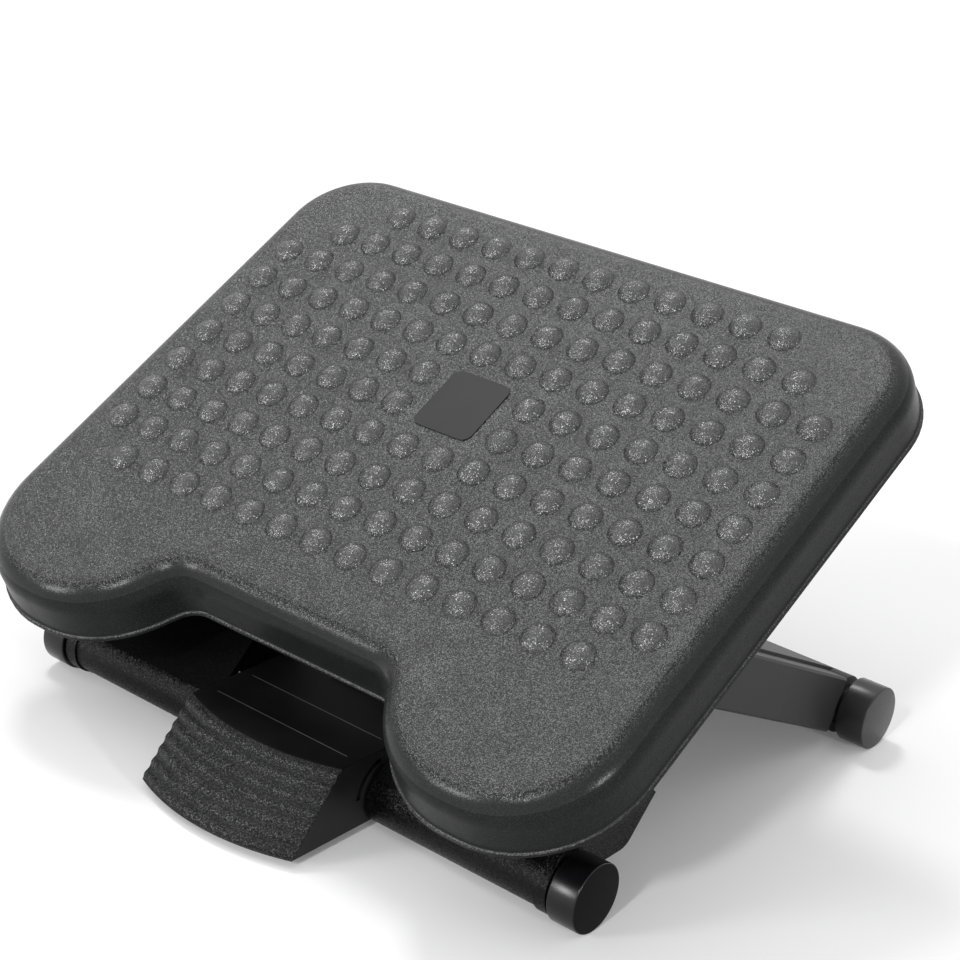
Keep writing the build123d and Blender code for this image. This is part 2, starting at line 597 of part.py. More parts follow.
def slide_shoe():
    """The right-hand shoe on the slide pin, running in the track's slot."""
    at = (-REAR_UPPER, 0)
    return rod(SLIDE_SHOE_RADIUS, TRACK_INNER + 0.5, TRACK_OUTER - 0.5, at) - rod(SLIDE_PIN_RADIUS, 0, TRACK_OUTER, at)


def rear_leg_nodes():
    """The pieces of the rear leg, in the leg's own axes."""
    nodes = {
        "rear_tube": rear_tube(),
        "rear_web_panel": rear_web(),
        **both_sides("rear_arm", rear_arm()),
        **both_sides("rear_foot", rear_foot()),
        **both_sides("ratchet_quadrant", quadrant()),
        **both_sides("slide_pin", slide_pin()),
        **both_sides("slide_shoe", slide_shoe()),
    }
    return {name: REAR_PLACE * shape for name, shape in nodes.items()}


# Pedal, drawn in place at rest

def pedal_plan(inset, rear):
    """The pedal's plan at its foot: a bowed nose, straight sides and a straight rear."""
    half = PEDAL_HALF_WIDTH - inset
    nose = PEDAL_NOSE - inset
    bow = PEDAL_PLAN_RADIUS - inset
    corner = nose - bow + (bow ** 2 - half ** 2) ** 0.5
    front = ThreePointArc((-half, -corner), (0, -nose), (half, -corner))
    rest = Polyline((half, -corner), (half, rear), (-half, rear), (-half, -corner))
    return make_face(front + rest)


def pedal_wedge(inset, bottom, top, rear):
    """The plan leaned back from the pedal's foot to its brow, between two heights."""
    lean = (PEDAL_NOSE - PEDAL_BROW) / (PEDAL_TOP - PEDAL_BOTTOM)
    start = Pos(0, lean * (bottom - PEDAL_BOTTOM), bottom) * pedal_plan(inset, rear)
    return extrude(start, amount=(top - bottom) * hypot(1, lean), dir=(0, lean, 1))


def pedal_side(inset):
    """The pedal's side view, open below its hub so that it clears the floor as the leg folds."""
    far = 2 * PEDAL_NOSE
    bottom, top = PEDAL_BOTTOM, PEDAL_TOP - inset
    heel = (PEDAL_HEEL_RADIUS ** 2 - (FOOT_RADIUS - bottom) ** 2) ** 0.5
    side = poly((-far, bottom), (heel, bottom), (PEDAL_HEEL_RADIUS, FOOT_RADIUS), (PEDAL_REAR, top - 3),
                (PEDAL_REAR, top), (-far, top))
    return side


def pedal_arm_root():
    """Where the pedal's arm leaves the pedal, in (y, z)."""
    return Vector(PEDAL_REAR - 14, PEDAL_TOP - PEDAL_ARM_THICKNESS / 2)


def tread_ribs():
    """The bowed ribs across the tread, one above the other."""
    lean = (PEDAL_NOSE - PEDAL_BROW) / (PEDAL_TOP - PEDAL_BOTTOM)
    up = Vector(lean, 1).normalized()
    out = Vector(-up.Y, up.X)
    step = (PEDAL_TOP - PEDAL_BOTTOM) / TREAD_RIBS
    swing = 2 * degrees(asin(PEDAL_HALF_WIDTH / PEDAL_PLAN_RADIUS)) + 4
    ribs = []
    for row in range(TREAD_RIBS):
        height = PEDAL_BOTTOM + (row + 0.5) * step
        middle = Vector(-PEDAL_NOSE + lean * (height - PEDAL_BOTTOM), height)
        foot, crest, root = up * (TREAD_RIB_FOOT / 2), up * (TREAD_RIB_CREST / 2), out * TREAD_RIB_HEIGHT
        section = poly(middle - foot - root, middle + foot - root, middle + foot, middle + crest + root,
                       middle - crest + root, middle - foot)
        axis = Axis((0, middle.X + PEDAL_PLAN_RADIUS, 0), (0, 0, 1))
        start = (Plane.YZ * section).rotate(axis, -swing / 2)
        ribs.append(revolve(start, axis=axis, revolution_arc=swing))
    keep = Box(2 * PEDAL_HALF_WIDTH, 4 * PEDAL_NOSE, 4 * PEDAL_TOP)
    return [rib & keep for rib in ribs]


def pedal():
    """The pedal moulding: bowed ribbed tread, flat top, side walls on the axle, and the pawl's arm."""
    far = 2 * PEDAL_NOSE
    outer = pedal_wedge(0, PEDAL_BOTTOM, PEDAL_TOP, far) & slab(pedal_side(0), -PEDAL_HALF_WIDTH, PEDAL_HALF_WIDTH)
    inner_half = PEDAL_HALF_WIDTH - PEDAL_WALL
    under = poly((-far, PEDAL_BOTTOM - 5), (far, PEDAL_BOTTOM - 5), (far, PEDAL_TOP - PEDAL_WALL), (-far, PEDAL_TOP - PEDAL_WALL))
    inner = pedal_wedge(PEDAL_WALL, PEDAL_BOTTOM - 5, PEDAL_TOP, far) & slab(under, -inner_half, inner_half)
    body = outer - inner
    body = body.fuse(*tread_ribs())
    hub = rod(PEDAL_HUB_RADIUS, PEDAL_HALF_WIDTH - PEDAL_HUB_LENGTH, PEDAL_HALF_WIDTH, FRONT_AXLE)
    body = body + hub + mirror(hub, about=Plane.YZ)
    root = pedal_arm_root()
    along = (PAWL_POINT - root).normalized()
    rise = Vector(-along.Y, along.X) * (PEDAL_ARM_THICKNESS / 2)
    arm = poly(root + rise, PAWL_POINT + rise, PAWL_POINT - rise, root - rise) + disc(PEDAL_ARM_THICKNESS / 2, PAWL_POINT)
    arm = arm - disc(PAWL_RADIUS, PAWL_POINT)
    body = body + slab(arm, -PEDAL_ARM_HALF_WIDTH, PEDAL_ARM_HALF_WIDTH)
    body -= rod(AXLE_RADIUS + RUNNING_GAP, -PEDAL_HALF_WIDTH, PEDAL_HALF_WIDTH, FRONT_AXLE)
    body -= pedal_side_slots()
    return body - label_solid(LABEL_GAP, LABEL_POCKET + 1)


def pedal_side_slots():
    """The curved slots through both side walls, round the front of the hub."""
    outer = PEDAL_SLOT_RADIUS + PEDAL_SLOT_WIDTH / 2
    wedge = poly((0, 0), toward(98, 2 * outer), toward(140, 2 * outer), toward(176, 2 * outer))
    ring = (disc(outer) - disc(outer - PEDAL_SLOT_WIDTH)) & wedge
    return slab(Pos(FRONT_AXLE.X, FRONT_AXLE.Y) * ring, -PEDAL_HALF_WIDTH, PEDAL_HALF_WIDTH)


def label_solid(grow, height):
    """The bare label plate's solid, seated in the pedal's flat top."""
    lean_back = PEDAL_NOSE - PEDAL_BROW
    plan = pedal_plan(LABEL_MARGIN - grow, PEDAL_REAR - lean_back - LABEL_MARGIN + grow)
    seat = Pos(0, lean_back, PEDAL_TOP - LABEL_POCKET) * plan
    return extrude(seat, amount=height)


def pedal_nodes():
    """The pieces that move with the pedal."""
    pin_end = QUADRANT_OFFSET + QUADRANT_THICKNESS / 2 + 2
    return {
        "pedal": pedal(),
        "pedal_label_plate": label_solid(0, LABEL_THICKNESS),
        "pawl_pin": rod(PAWL_RADIUS, -pin_end, pin_end, PAWL_POINT),
    }


def main():
    """Builds every piece, sets the origin at the middle of the footprint box and writes the files."""
    nodes = {**platform_nodes(), **front_feet_nodes(), **front_leg_nodes(), **rear_leg_nodes(), **pedal_nodes()}
    boxes = [shape.bounding_box() for shape in nodes.values()]
    shift = -(min(box.min.Y for box in boxes) + max(box.max.Y for box in boxes)) / 2
    os.makedirs("parts", exist_ok=True)
    for name, shape in nodes.items():
        export_step(Pos(0, shift, 0) * shape, f"parts/{name}.step")
    for label, point in (("front axle", FRONT_AXLE), ("crossing", CROSSING), ("top hinge", TOP_HINGE),
                         ("slide", SLIDE_POINT), ("pawl", PAWL_POINT), ("rear axle", REAR_AXLE)):
        print(f"{label}: y {point.X + shift:.3f} z {point.Y:.3f}")
    print(f"shift {shift:.3f} leg swing {LEG_SWING:.3f} spread ratio {-SPREAD_SWING / LEG_SWING:.5f}")
    print(f"platform ratio {-(LEG_SWING - PLATFORM_TILT + TILT_LOW) / LEG_SWING:.5f} slide travel {SLIDE_TRAVEL:.2f}")
    print(f"low: rear leg {REAR_LEG_LOW:.2f} tilt {TILT_LOW:.2f}")


main()
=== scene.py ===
"""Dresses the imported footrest: mouldings over the CAD frame, plastic finishes, studio light and camera."""
import json
import math

import bmesh
import bpy
from mathutils import Matrix, Vector


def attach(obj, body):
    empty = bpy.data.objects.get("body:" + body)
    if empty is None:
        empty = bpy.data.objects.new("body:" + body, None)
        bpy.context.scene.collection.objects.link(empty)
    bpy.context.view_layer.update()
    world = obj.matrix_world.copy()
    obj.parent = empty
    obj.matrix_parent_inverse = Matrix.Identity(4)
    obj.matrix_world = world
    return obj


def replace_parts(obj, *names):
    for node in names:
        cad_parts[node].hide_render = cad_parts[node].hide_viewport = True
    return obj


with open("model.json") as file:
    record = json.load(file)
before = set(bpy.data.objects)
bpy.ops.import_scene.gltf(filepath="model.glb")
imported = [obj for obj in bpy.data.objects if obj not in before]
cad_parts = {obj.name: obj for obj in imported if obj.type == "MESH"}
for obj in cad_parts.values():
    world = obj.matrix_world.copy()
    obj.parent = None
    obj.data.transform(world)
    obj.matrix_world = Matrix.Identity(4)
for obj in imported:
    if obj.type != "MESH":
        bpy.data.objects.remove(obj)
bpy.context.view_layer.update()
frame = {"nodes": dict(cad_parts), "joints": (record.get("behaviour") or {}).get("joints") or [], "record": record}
NODES = frame["nodes"]
MM = 0.001

# Sizes that follow the CAD, in millimetres, measured from the front axle
AXLE = next(j for j in frame["joints"] if j["name"] == "front_leg_fold")["pos_m"]
AXLE_Y = AXLE[1] / MM
AXLE_Z = AXLE[2] / MM
PLATFORM_TILT = 30.0
LIP_FORWARD, LIP_HEIGHT = 63.0, 59.0
PLATFORM_WIDTH, PLATFORM_DEPTH, SHELL_HEIGHT = 460.0, 380.0, 36.5
LIP_BEAD, SHELL_WALL = 2.5, 3.5
CEILING = SHELL_HEIGHT - SHELL_WALL
ROLL = 17.0
# The shell's outside from lip to roll and its inside from ceiling to rim, as (inset, height)
LIP_AND_WALL = [
    (0.0, 0.0), (0.0, 1.5), (0.12, 1.85), (0.45, 2.05), (1.25, 2.25), (1.55, 2.6), (1.65, 3.2), (1.8, 6.0),
    (2.05, 10.0), (2.3, 14.5), (2.42, 17.0),
]
INNER_WALL = [(22.0, CEILING), (14.0, CEILING), (6.2, CEILING - 8), (6.0, 12.0), (6.0, 0.5), (5.4, 0.0)]
RECESS_DEPTH, RECESS_HALF_BACK, RECESS_HALF_MOUTH = 52.0, 76.0, 109.0
CORNERS = {"recess": 19.0, "lobe": 77.0, "front": 70.0, "rear": 54.0}
RIB_HALF, RIB_SPACING, RIB_DEPTH, RIB_WIDTH, RIB_MARGIN = 155.5, 60.0, 6.0, 2.5, 16.0
RIB_DRAFT, RIB_ROOT = 0.4, 0.5
BUMP_ACROSS, BUMP_ALONG, BUMP_REAR_MARGIN = 26.1, 26.5, 36.0
BUMP_RADIUS, BUMP_HEIGHT, BUMP_ROOT = 10.0, 5.0, 0.3
BUMPS_PER_ROW = (12, 14, 16, 16, 16, 16, 16, 16, 16, 14)
BADGE_HALF, BADGE_ROW = 21.0, 4.5
FOOT_RADIUS, FOOT_INNER, FRONT_FOOT_OUTER, REAR_FOOT_OUTER, FOOT_BEVEL = 19.99, 187.4, 205.0, 206.0, 0.8
NECK_RADIUS, FRONT_NECK_START, REAR_NECK_START = 13.0, 185.9, 175.5
FOOT_SPAN = 288.0
LEG_ANGLE = 46.5
NOTCH_HALF, NOTCH_EDGE, NOTCH_BEVEL = 62.0, 2.5, 0.4
# The turned-down edge beside the pedal's notch, as (along the leg, off its middle)
NOTCH_OUTLINE = [(22, 16.5), (100, 14), (100, 2), (61, -22), (58, -24), (26, -24), (22, -20)]
ROLL_SKIN_RADIUS, ROLL_START, ROLL_END, ROLL_EASE, AXLE_RADIUS = 17.3, 60.0, 177.5, 1.2, 6.05
TUBE_RADIUS, TUBE_END, TUBE_EASE = 18.5, 181.5, 0.6
FLAT_BEVEL = 0.5
PEDAL_HALF, PEDAL_BOTTOM, PEDAL_TOP = 58.0, 5.0, 46.5
PEDAL_NOSE, PEDAL_BROW, PEDAL_REAR, PEDAL_BOW = 84.0, 48.0, 50.0, 145.0
TREAD_RIBS, RIB_RISE, TREAD_LIFT, TREAD_SETTLE, TREAD_SINK, TREAD_BACK = 7, 1.2, 0.15, 1.5, 0.05, 0.4
LABEL_GAP, LABEL_THICKNESS, LABEL_INSET, LABEL_EASE = 0.02, 0.4, 0.3, 0.15
RULE_PLACES, RULE_HALF, RULE_WIDTH, RULE_LIFT = (-24.0, 4.0), 50, 0.6, 0.03

# How the sand grain is mixed; how it gives way to a painted darker shade and its lean fades where the platform's
# wall turns down; and how much painted shade darkens the tread's rib valleys
PATCH_SCALE, PATCH_DETAIL = 60.0, 3.0
FACET_SHARE, PATCH_SHARE, FULL_TONE = 0.8, 0.2, 0.95
# Painted shade: where the surface turns down from the platform's top, the grain colour gives way to the darker
# plain wall colour
WALL_SHADE_FADE, WALL_SHADE_LEFT = (0.78, 1.0), 0.12
LEAN_FADE, LEAN_LEFT = (0.80, 0.995), 0.2
# Painted shade in the tread's rib valleys: the share of the grain colour kept at a valley's bottom, the rest
# turned to the dark tone
RIB_VALLEY_SHADE = 0.35
BAND_LIMITS = (0.93, 0.50)
SHARP_ANGLE, BEVEL_ANGLE = 38, 40

# The photograph's viewpoint, fitted to the bump rows, feet and platform edges, in degrees and millimetres
CAMERA_AZIMUTH, CAMERA_ELEVATION, CAMERA_ROLL = 37.558, 22.238, 5.219
CAMERA_EYE = (727.97, -810.10, 638.82)
FOCAL_PIXELS, FRAME_PIXELS, SENSOR_MM = 2186.55, 960, 36.0

# Light: the surroundings' strength, and each lamp's direction, spread in degrees and strength
SURROUND_LEVEL = 0.45
LAMPS = {
    "above": ((-0.16, -0.02, 0.98), 95, 0.72),
    "rear": ((-0.46, 0.26, 0.85), 12, 0.80),
    "left": ((-0.64, -0.36, 0.68), 22, 0.20),
    "front": ((0.12, -0.82, 0.56), 6, 1.00),
    "low": ((-0.47, -0.84, 0.26), 14, 1.15),
    "right": ((0.96, -0.15, 0.23), 5, 0.85),
}
FLOOR_REACH, FLOOR_WHITE, FLOOR_DULL, FLOOR_GLOW = 12.0, 0.96, 0.30, 0.08

PLATFORM = Matrix.Translation(Vector((0, AXLE_Y - LIP_FORWARD, LIP_HEIGHT)) * MM) @ Matrix.Rotation(
    math.radians(PLATFORM_TILT), 4, "X") @ Matrix.Scale(MM, 4)
PLATFORM_NORMAL = (0, -math.sin(math.radians(PLATFORM_TILT)), math.cos(math.radians(PLATFORM_TILT)))
FROM_AXLE = Matrix.Translation(Vector((0, AXLE_Y, 0)) * MM) @ Matrix.Scale(MM, 4)
ALONG_LEG = Matrix.Translation(Vector((0, AXLE_Y, AXLE_Z)) * MM) @ Matrix.Rotation(
    math.radians(LEG_ANGLE), 4, "X") @ Matrix.Scale(MM, 4)


def make(name, verts, faces, place, body, material, smooth=True):
    """A mesh piece in millimetres, set in place, riding on a body with a finish."""
    mesh = bpy.data.meshes.new(name)
    mesh.from_pydata([place @ Vector(v) for v in verts], [], faces)
    mesh.validate()
    piece = bpy.data.objects.new(name, mesh)
    bpy.context.scene.collection.objects.link(piece)
    tidy = bmesh.new()
    tidy.from_mesh(mesh)
    bmesh.ops.remove_doubles(tidy, verts=tidy.verts, dist=1e-7)
    bmesh.ops.recalc_face_normals(tidy, faces=tidy.faces)
    tidy.to_mesh(mesh)
    tidy.free()
    mesh.polygons.foreach_set("use_smooth", [smooth] * len(mesh.polygons))
    if smooth:
        mesh.set_sharp_from_angle(angle=math.radians(SHARP_ANGLE))
    mesh.materials.append(material)
    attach(piece, body)
    return piece


# Finishes

def grained_plastic(name, dark, light, rough, grain_mm, lean, shine=0.3, bare=0.5, wall=None, ribs=0):
    """Moulded plastic with a sand grain: tiny leaning facets; down a wall a plainer finish darkened by painted
    shade; painted shade in the rib valleys.
    """
    mat = bpy.data.materials.new(name)
    mat.use_nodes = True
    nodes, links = mat.node_tree.nodes, mat.node_tree.links
    shader = nodes["Principled BSDF"]
    shader.inputs["Roughness"].default_value = rough
    shader.inputs["IOR"].default_value = 1.5
    shader.inputs["Specular IOR Level"].default_value = shine
    coords = nodes.new("ShaderNodeTexCoord")
    facets = nodes.new("ShaderNodeTexVoronoi")
    facets.inputs["Scale"].default_value = 1 / (grain_mm * MM)
    patches = nodes.new("ShaderNodeTexNoise")
    patches.inputs["Scale"].default_value = PATCH_SCALE
    patches.inputs["Detail"].default_value = PATCH_DETAIL
    for texture in (facets, patches):
        links.new(coords.outputs["Object"], texture.inputs["Vector"])
    pick = nodes.new("ShaderNodeSeparateColor")
    links.new(facets.outputs["Color"], pick.inputs["Color"])
    blend = nodes.new("ShaderNodeMath")
    blend.operation = "MULTIPLY_ADD"
    blend.inputs[1].default_value = FACET_SHARE
    ease = nodes.new("ShaderNodeMath")
    ease.operation = "MULTIPLY"
    ease.inputs[1].default_value = PATCH_SHARE
    links.new(patches.outputs["Fac"], ease.inputs[0])
    links.new(pick.outputs["Red"], blend.inputs[0])
    links.new(ease.outputs["Value"], blend.inputs[2])
    tone = nodes.new("ShaderNodeValToRGB")
    tone.color_ramp.elements[0].position = bare
    tone.color_ramp.elements[0].color = (*dark, 1)
    tone.color_ramp.elements[1].position = FULL_TONE
    tone.color_ramp.elements[1].color = (*light, 1)
    links.new(blend.outputs["Value"], tone.inputs["Fac"])
    colour = tone.outputs["Color"]
    centred = nodes.new("ShaderNodeVectorMath")
    centred.operation = "SUBTRACT"
    centred.inputs[1].default_value = (0.5, 0.5, 0.5)
    links.new(facets.outputs["Color"], centred.inputs[0])
    scaled = nodes.new("ShaderNodeVectorMath")
    scaled.operation = "SCALE"
    scaled.inputs["Scale"].default_value = lean
    links.new(centred.outputs["Vector"], scaled.inputs[0])
    # Painted shade: the colour turns from the grain to the darker wall colour as the surface faces away from the
    # platform's top. The plain wall is the moulding's own, but its darkness is painted shade. The facets' lean
    # also fades there.
    if wall:
        facing = nodes.new("ShaderNodeVectorMath")
        facing.operation = "DOT_PRODUCT"
        facing.inputs[1].default_value = PLATFORM_NORMAL
        links.new(coords.outputs["Normal"], facing.inputs[0])
        share = nodes.new("ShaderNodeMapRange")
        share.interpolation_type = "SMOOTHSTEP"
        share.inputs["From Min"].default_value = WALL_SHADE_FADE[0]
        share.inputs["From Max"].default_value = WALL_SHADE_FADE[1]
        share.inputs["To Min"].default_value = WALL_SHADE_LEFT
        links.new(facing.outputs["Value"], share.inputs["Value"])
        plain = nodes.new("ShaderNodeMix")
        plain.data_type = "RGBA"
        plain.inputs[6].default_value = (*wall, 1)
        links.new(share.outputs["Result"], plain.inputs[0])
        links.new(colour, plain.inputs[7])
        colour = plain.outputs[2]
        flat = nodes.new("ShaderNodeMapRange")
        flat.interpolation_type = "SMOOTHSTEP"
        flat.inputs["From Min"].default_value = LEAN_FADE[0]
        flat.inputs["From Max"].default_value = LEAN_FADE[1]
        flat.inputs["To Min"].default_value = LEAN_LEFT * lean
        flat.inputs["To Max"].default_value = lean
        links.new(facing.outputs["Value"], flat.inputs["Value"])
        links.new(flat.outputs["Result"], scaled.inputs["Scale"])
    # Painted shade: the colour darkens toward the dark tone in the valleys between the tread's ribs, by height
    # along the tread; the crests keep the full grain colour.
    if ribs:
        height = nodes.new("ShaderNodeSeparateXYZ")
        links.new(coords.outputs["Object"], height.inputs["Vector"])
        turn = nodes.new("ShaderNodeMapRange")
        turn.inputs["From Min"].default_value = PEDAL_BOTTOM * MM
        turn.inputs["From Max"].default_value = PEDAL_TOP * MM
        turn.inputs["To Max"].default_value = 2 * math.pi * ribs
        links.new(height.outputs["Z"], turn.inputs["Value"])
        wave = nodes.new("ShaderNodeMath")
        wave.operation = "COSINE"
        links.new(turn.outputs["Result"], wave.inputs[0])
        valley_shade_share = nodes.new("ShaderNodeMapRange")
        valley_shade_share.inputs["From Min"].default_value = 1.0
        valley_shade_share.inputs["From Max"].default_value = -1.0
        valley_shade_share.inputs["To Min"].default_value = RIB_VALLEY_SHADE
        links.new(wave.outputs["Value"], valley_shade_share.inputs["Value"])
        painted_valley_shade = nodes.new("ShaderNodeMix")
        painted_valley_shade.data_type = "RGBA"
        painted_valley_shade.inputs[6].default_value = (*dark, 1)
        links.new(valley_shade_share.outputs["Result"], painted_valley_shade.inputs[0])
        links.new(colour, painted_valley_shade.inputs[7])
        colour = painted_valley_shade.outputs[2]
    links.new(colour, shader.inputs["Base Color"])
    surface = nodes.new("ShaderNodeNewGeometry")
    leaning = nodes.new("ShaderNodeVectorMath")
    leaning.operation = "ADD"
    links.new(surface.outputs["Normal"], leaning.inputs[0])
    links.new(scaled.outputs["Vector"], leaning.inputs[1])
    unit = nodes.new("ShaderNodeVectorMath")
    unit.operation = "NORMALIZE"
    links.new(leaning.outputs["Vector"], unit.inputs[0])
    links.new(unit.outputs["Vector"], shader.inputs["Normal"])
    return mat


def smooth_plastic(name, dark, light, rough, waviness_mm=0.02, shine=0.5):
    """Satin or glossy moulded plastic with faint tone changes and a barely uneven skin."""
    mat = bpy.data.materials.new(name)
    mat.use_nodes = True
    nodes, links = mat.node_tree.nodes, mat.node_tree.links
    shader = nodes["Principled BSDF"]
    shader.inputs["IOR"].default_value = 1.5
    shader.inputs["Specular IOR Level"].default_value = shine
    coords = nodes.new("ShaderNodeTexCoord")
    drift = nodes.new("ShaderNodeTexNoise")
    drift.inputs["Scale"].default_value = 40.0
    drift.inputs["Detail"].default_value = 4.0
    fine = nodes.new("ShaderNodeTexNoise")
    fine.inputs["Scale"].default_value = 900.0
    for texture in (drift, fine):
        links.new(coords.outputs["Object"], texture.inputs["Vector"])
    tone = nodes.new("ShaderNodeValToRGB")
    tone.color_ramp.elements[0].position = 0.35
    tone.color_ramp.elements[0].color = (*dark, 1)
    tone.color_ramp.elements[1].position = 0.65
    tone.color_ramp.elements[1].color = (*light, 1)
    links.new(drift.outputs["Fac"], tone.inputs["Fac"])
    links.new(tone.outputs["Color"], shader.inputs["Base Color"])
    spread = nodes.new("ShaderNodeMapRange")
    spread.inputs["To Min"].default_value = rough - 0.04
    spread.inputs["To Max"].default_value = rough + 0.06
    links.new(drift.outputs["Fac"], spread.inputs["Value"])
    links.new(spread.outputs["Result"], shader.inputs["Roughness"])
    relief = nodes.new("ShaderNodeBump")
    relief.inputs["Strength"].default_value = 0.6
    relief.inputs["Distance"].default_value = waviness_mm * MM
    links.new(fine.outputs["Fac"], relief.inputs["Height"])
    links.new(relief.outputs["Normal"], shader.inputs["Normal"])
    return mat


def plated_steel(name, dark, light, rough):
    """Plated or blued steel with fine turning marks along X."""
    mat = bpy.data.materials.new(name)
    mat.use_nodes = True
    nodes, links = mat.node_tree.nodes, mat.node_tree.links
    shader = nodes["Principled BSDF"]
    shader.inputs["Metallic"].default_value = 1.0
    coords = nodes.new("ShaderNodeTexCoord")
    stretch = nodes.new("ShaderNodeMapping")
    stretch.inputs["Scale"].default_value = (2200.0, 60.0, 60.0)
    links.new(coords.outputs["Object"], stretch.inputs["Vector"])
    marks = nodes.new("ShaderNodeTexNoise")
    marks.inputs["Scale"].default_value = 1.0
    marks.inputs["Detail"].default_value = 3.0
    links.new(stretch.outputs["Vector"], marks.inputs["Vector"])
    tone = nodes.new("ShaderNodeValToRGB")
    tone.color_ramp.elements[0].color = (*dark, 1)
    tone.color_ramp.elements[1].color = (*light, 1)
    links.new(marks.outputs["Fac"], tone.inputs["Fac"])
    links.new(tone.outputs["Color"], shader.inputs["Base Color"])
    spread = nodes.new("ShaderNodeMapRange")
    spread.inputs["To Min"].default_value = rough - 0.06
    spread.inputs["To Max"].default_value = rough + 0.1
    links.new(marks.outputs["Fac"], spread.inputs["Value"])
    links.new(spread.outputs["Result"], shader.inputs["Roughness"])
    return mat


# The darker wall colour given to every band is painted shade down the platform's turned-down wall
PLATFORM_BANDS = [
    grained_plastic(
        f"platform_moulding_{band}", (0.004, 0.0043, 0.0046), (0.200, 0.202, 0.204), rough, 0.38, 0.55,
        shine=shine, bare=0.60, wall=(0.015, 0.0155, 0.016))
    for band, shine, rough in (("top", 0.34, 0.32), ("shoulder", 0.20, 0.24), ("wall", 0.08, 0.32))]
PLATFORM_MAT = PLATFORM_BANDS[0]
BUMP_MAT = grained_plastic(
    "bump_moulding", (0.004, 0.0042, 0.0045), (0.180, 0.182, 0.184), 0.25, 0.42, 0.58,
    shine=0.78, bare=0.67)
# The tread's rib valleys get painted shade.
TREAD_MAT = grained_plastic(
    "tread_moulding", (0.003, 0.0032, 0.0033), (0.170, 0.171, 0.172), 0.40, 0.50, 0.50,
    shine=0.14, bare=0.62, ribs=TREAD_RIBS)
LEG_MAT = grained_plastic(
    "front_leg_moulding", (0.0010, 0.0010, 0.0011), (0.014, 0.014, 0.015), 0.36, 0.50, 0.50,
    shine=0.13, bare=0.6)
# Painted shade: the front leg's own plastic made near-black for the panel and its notch edges, which sit in shade
# under the platform.
SHADED_PANEL_MAT = grained_plastic(
    "front_panel_painted_shade", (0.001, 0.001, 0.0012), (0.004, 0.004, 0.0044), 0.60, 0.60, 0.30, shine=0.04)
UNDER_MAT = grained_plastic(
    "inner_moulding", (0.010, 0.010, 0.011), (0.024, 0.024, 0.026), 0.55, 1.6, 0.15, shine=0.2)
PEDAL_MAT = smooth_plastic(
    "pedal_moulding", (0.010, 0.010, 0.011), (0.016, 0.016, 0.017), 0.48, shine=0.2)
REAR_MAT = smooth_plastic(
    "rear_leg_moulding", (0.031, 0.031, 0.032), (0.036, 0.036, 0.037), 0.46, shine=0.14)
FOOT_MAT = smooth_plastic(
    "front_foot_moulding", (0.003, 0.003, 0.0035), (0.006, 0.006, 0.007), 0.25, shine=0.34)
FOOT_FACE_MAT = smooth_plastic(
    "front_foot_face", (0.002, 0.002, 0.0024), (0.003, 0.003, 0.0035), 0.50, shine=0.06)
REAR_FOOT_MAT = smooth_plastic(
    "rear_foot_moulding", (0.036, 0.036, 0.037), (0.044, 0.044, 0.045), 0.24, shine=0.22)
LABEL_MAT = smooth_plastic(
    "label_sheet", (0.003, 0.003, 0.0035), (0.006, 0.006, 0.0065), 0.55, shine=0.09)
BADGE_MAT = smooth_plastic(
    "badge_moulding", (0.010, 0.010, 0.011), (0.014, 0.014, 0.015), 0.45, shine=0.25)
BEARING_MAT = smooth_plastic(
    "bearing_moulding", (0.020, 0.020, 0.021), (0.028, 0.028, 0.029), 0.40, shine=0.3)
STEEL_MAT = plated_steel("zinc_steel", (0.42, 0.42, 0.43), (0.60, 0.60, 0.61), 0.32)
SPRING_MAT = plated_steel("spring_steel", (0.10, 0.10, 0.11), (0.18, 0.18, 0.19), 0.34)
RULE_MAT = smooth_plastic(
    "label_rule", (0.08, 0.08, 0.08), (0.11, 0.11, 0.11), 0.50, shine=0.2)

FINISH_OF_SLOT = {
    "platform_plastic": PLATFORM_MAT, "badge_plastic": BADGE_MAT, "front_leg_plastic": LEG_MAT,
    "rear_leg_plastic": REAR_MAT, "pedal_plastic": PEDAL_MAT, "smooth_black_plastic": FOOT_MAT,
    "rear_foot_plastic": REAR_FOOT_MAT, "bearing_plastic": BEARING_MAT, "steel": STEEL_MAT,
    "spring_steel": SPRING_MAT,
}
for entry in frame["record"]["subparts"]:
    node = NODES[entry["node"]]
    node.data.materials.clear()
    node.data.materials.append(FINISH_OF_SLOT[entry["material_slot"]])
# The panel takes the darker copy of the front leg plastic: painted shade under the platform.
NODES["front_leg_panel"].data.materials[0] = SHADED_PANEL_MAT


# Platform moulding

def rounded(points, radii, corner_steps=14, side_steps=6):
    """A closed plan with rounded corners, sampled with the same count whatever its size."""
    ring = []
    count = len(points)
    arcs = []
    for i, radius in enumerate(radii):
        corner = Vector(points[i])
        into = (corner - Vector(points[i - 1])).normalized()
        away = (Vector(points[(i + 1) % count]) - corner).normalized()
        turn = into.angle_signed(away)
        reach = radius * math.tan(abs(turn) / 2)
        start = corner - into * reach
        centre = start + Vector((into.y, -into.x)) * radius * (1 if turn > 0 else -1)
        spoke = start - centre
        steps = [Matrix.Rotation(-turn * k / corner_steps, 2) for k in range(corner_steps + 1)]
        arcs.append([centre + step @ spoke for step in steps])
    for i, arc in enumerate(arcs):
        ring.extend(arc)
        end, begin = arc[-1], arcs[(i + 1) % count][0]
        ring.extend(end.lerp(begin, k / side_steps) for k in range(1, side_steps))
    return ring


